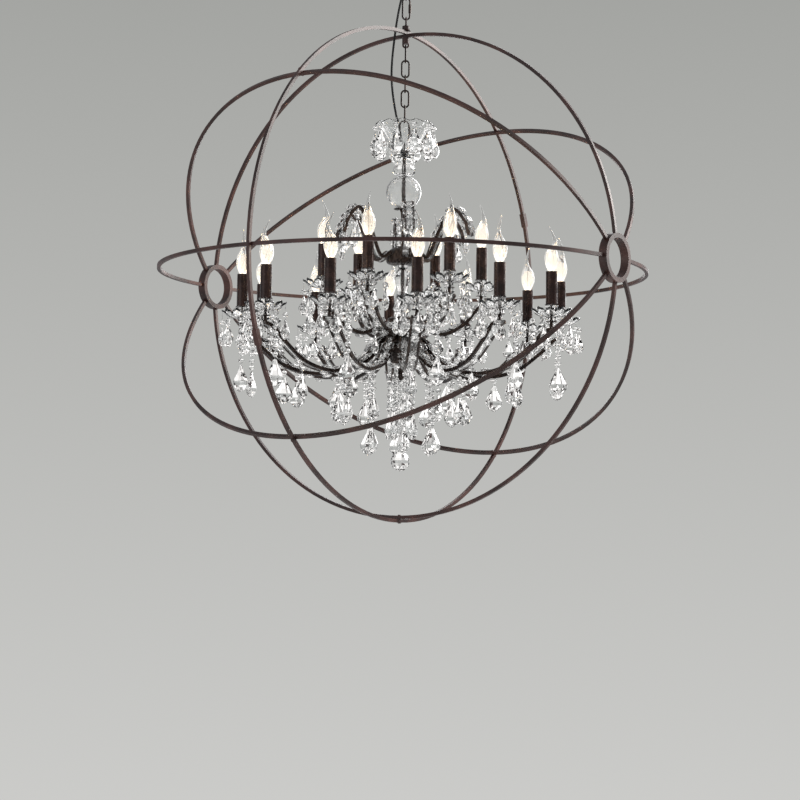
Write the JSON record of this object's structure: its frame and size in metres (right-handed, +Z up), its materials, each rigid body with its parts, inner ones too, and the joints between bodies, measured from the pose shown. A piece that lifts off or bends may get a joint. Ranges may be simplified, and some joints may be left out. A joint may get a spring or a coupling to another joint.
{
  "type": "orb chandelier",
  "caption": "Rusty iron orb cage on a chain round a crystal candle chandelier that hangs on its own chain inside.",
  "frame": {"origin": "middle of the ceiling crossbar's top face, where the fitting meets the ceiling", "axes": "+Z up into the ceiling, so the whole part hangs below z = 0; +X along the cage's hub axis"},
  "size_m": [1.1074, 1.121, 1.2945],
  "materials": {
    "rust_iron": "matt brown-red rust over dark iron",
    "dark_bronze": "dark bronze, slightly glossy",
    "galvanised": "plain plated steel",
    "clear_glass": "clear, fire-polished",
    "crystal": "clear faceted crystal",
    "bulb_glass": "clear glass that glows warm white round its filament",
    "socket_plastic": "off-white lamp socket",
    "cord_black": "black cord sheath",
    "wire_copper": "insulated wires in the rod"
  },
  "bodies": {
    "mount": {"ceiling_crossbar": "galvanised", "threaded_nipple": "galvanised", "nipple_nut": "galvanised", "canopy_loop": "dark_bronze"},
    "canopy_shell": {"canopy": "dark_bronze", "canopy_collar": "dark_bronze"},
    "upper_chain_link": {"upper_link": "dark_bronze"},
    "quick_link_pair": {"quick_link": "dark_bronze", "quick_link_sleeve": "dark_bronze"},
    "orb": {"equator_ring": "rust_iron", "upright_ring": "rust_iron", "diagonal_ring_a": "rust_iron", "diagonal_ring_b": "rust_iron", "cross_ring": "rust_iron", "splice_sleeves": "rust_iron", "crossing_rivets": "rust_iron", "hub_ring_right": "rust_iron", "hub_ring_left": "rust_iron", "top_boss": "rust_iron", "top_eye_bolt": "rust_iron", "lower_eye": "rust_iron", "supply_cord": "cord_black"},
    "first_lower_link": {"lower_link_1": "dark_bronze"},
    "lower_chain": {"lower_link_2": "dark_bronze", "lower_link_3": "dark_bronze", "lower_link_4": "dark_bronze", "lower_link_5": "dark_bronze", "long_link": "dark_bronze"},
    "crystal": {"crown_hook": "dark_bronze", "centre_rod": "dark_bronze", "rod_wires": "wire_copper", "crown_bowl": "clear_glass", "glass_knob": "clear_glass", "glass_ball": "clear_glass", "ball_disc": "dark_bronze", "glass_spindle": "clear_glass", "upper_hub": "dark_bronze", "glass_column": "clear_glass", "upper_arm_hub": "dark_bronze", "lower_arm_hub": "dark_bronze", "bell": "dark_bronze", "glass_dish": "clear_glass", "finial_knot": "dark_bronze", "lower_arms": "dark_bronze", "upper_arms": "dark_bronze", "scroll_arms": "dark_bronze", "candle_stems": "dark_bronze", "bobeches": "clear_glass", "glass_cups": "clear_glass", "candle_sleeves": "dark_bronze", "lamp_sockets": "socket_plastic", "flame_bulbs": "bulb_glass", "crown_drops": "crystal", "scroll_drops": "crystal", "rim_drops": "crystal", "long_strands": "crystal", "arm_strands": "crystal", "centre_strands": "crystal"},
    "pendant_ball": {"bottom_ball": "crystal"}
  },
  "joints": [
    {"name": "canopy_slide", "type": "slide", "parent": "mount", "child": "canopy_shell", "axis": [0, 0, -1], "range_m": [0, 0.04]},
    {"name": "loop_swing", "type": "hinge", "parent": "mount", "child": "upper_chain_link", "pos_m": [0, 0, -0.0689], "axis": [0.8192, 0.5736, 0], "range_deg": [-8, 8]},
    {"name": "upper_link_swing", "type": "hinge", "parent": "upper_chain_link", "child": "quick_link_pair", "pos_m": [0, 0, -0.1031], "axis": [-0.5736, 0.8192, 0], "range_deg": [-8, 8]},
    {"name": "orb_swing", "type": "hinge", "parent": "quick_link_pair", "child": "orb", "pos_m": [0, 0, -0.1488], "axis": [0.8192, 0.5736, 0], "range_deg": [-8, 8], "deforming": ["supply_cord"]},
    {"name": "lower_eye_swing", "type": "hinge", "parent": "orb", "child": "first_lower_link", "pos_m": [0, 0, -0.2144], "axis": [0.8192, 0.5736, 0], "range_deg": [-3, 3]},
    {"name": "lower_chain_swing", "type": "hinge", "parent": "first_lower_link", "child": "lower_chain", "pos_m": [0, 0, -0.2491], "axis": [-0.5736, 0.8192, 0], "range_deg": [-3, 3]},
    {"name": "crystal_swing", "type": "hinge", "parent": "lower_chain", "child": "crystal", "pos_m": [0, 0, -0.4406], "axis": [0.8192, 0.5736, 0], "range_deg": [-3, 3]},
    {"name": "pendant_ball_swing", "type": "hinge", "parent": "crystal", "child": "pendant_ball", "pos_m": [0, 0, -0.9758], "axis": [0.8192, 0.5736, 0], "range_deg": [-2.5, 2.5]}
  ]
}
